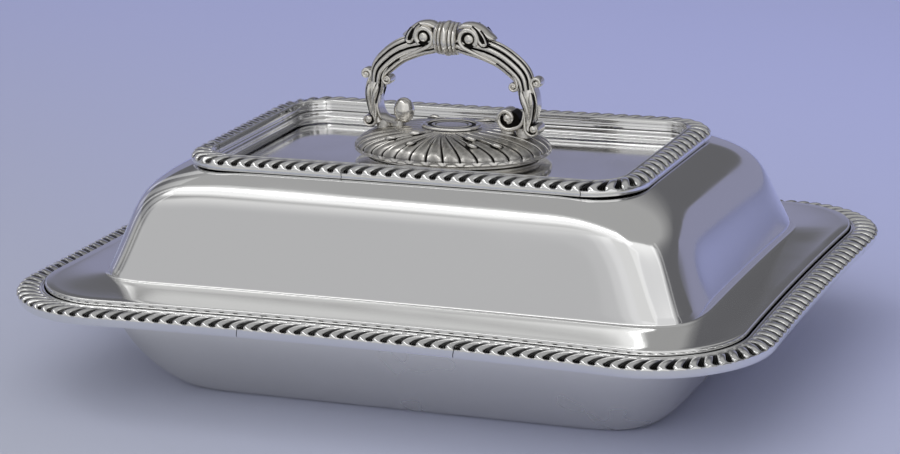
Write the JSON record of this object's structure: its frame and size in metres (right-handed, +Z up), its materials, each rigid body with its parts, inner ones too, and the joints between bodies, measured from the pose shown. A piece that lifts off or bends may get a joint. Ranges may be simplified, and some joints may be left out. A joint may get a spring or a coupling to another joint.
{
  "type": "double vegetable dish",
  "caption": "Oblong covered serving dish of silver plate with gadroon borders; a bayonet loop handle comes off so the cover serves as a second dish.",
  "frame": {"origin": "centre of the flat base, on the surface the dish stands on", "axes": "+X along the long sides, +Z up, -Y the front as pictured"},
  "size_m": [0.3048, 0.2312, 0.1403],
  "materials": {
    "silver_plate": "polished silver plate, fine wear scratches, slightly grey",
    "cast_silver_plate": "cast and chased silver plate, dark tarnish in the recesses, polished high parts",
    "inner_brass": "dull turned brass",
    "spring_steel": "plain spring steel"
  },
  "bodies": {
    "dish": {"dish_basin": "silver_plate", "rim_border_right": "silver_plate", "rim_border_back_right": "silver_plate", "rim_border_back": "silver_plate", "rim_border_back_left": "silver_plate", "rim_border_left": "silver_plate", "rim_border_front_left": "silver_plate", "rim_border_front": "silver_plate", "rim_border_front_right": "silver_plate"},
    "cover": {"cover_shell": "silver_plate", "top_border_right": "silver_plate", "top_border_back_right": "silver_plate", "top_border_back": "silver_plate", "top_border_back_left": "silver_plate", "top_border_left": "silver_plate", "top_border_front_left": "silver_plate", "top_border_front": "silver_plate", "top_border_front_right": "silver_plate", "bayonet_plate": "inner_brass"},
    "washer": {"spring_washer": "spring_steel"},
    "handle": {"bayonet_spigot": "inner_brass", "boss_plate": "inner_brass", "spigot_nut": "inner_brass", "boss_shell": "cast_silver_plate", "boss_medallion": "cast_silver_plate", "handle_collar": "cast_silver_plate", "handle_arm_left": "cast_silver_plate", "handle_arm_right": "cast_silver_plate", "foot_nut_left": "inner_brass", "foot_nut_right": "inner_brass"}
  },
  "joints": [
    {"name": "cover_lift", "type": "slide", "parent": "dish", "child": "cover", "axis": [0, 0, 1], "range_m": [0, 0.12]},
    {"name": "handle_lift", "type": "slide", "parent": "cover", "child": "washer", "axis": [0, 0, 1], "range_m": [0, 0.05]},
    {"name": "handle_turn", "type": "hinge", "parent": "washer", "child": "handle", "pos_m": [0, 0, 0.0903], "axis": [0, 0, 1], "range_deg": [0, 75]}
  ]
}
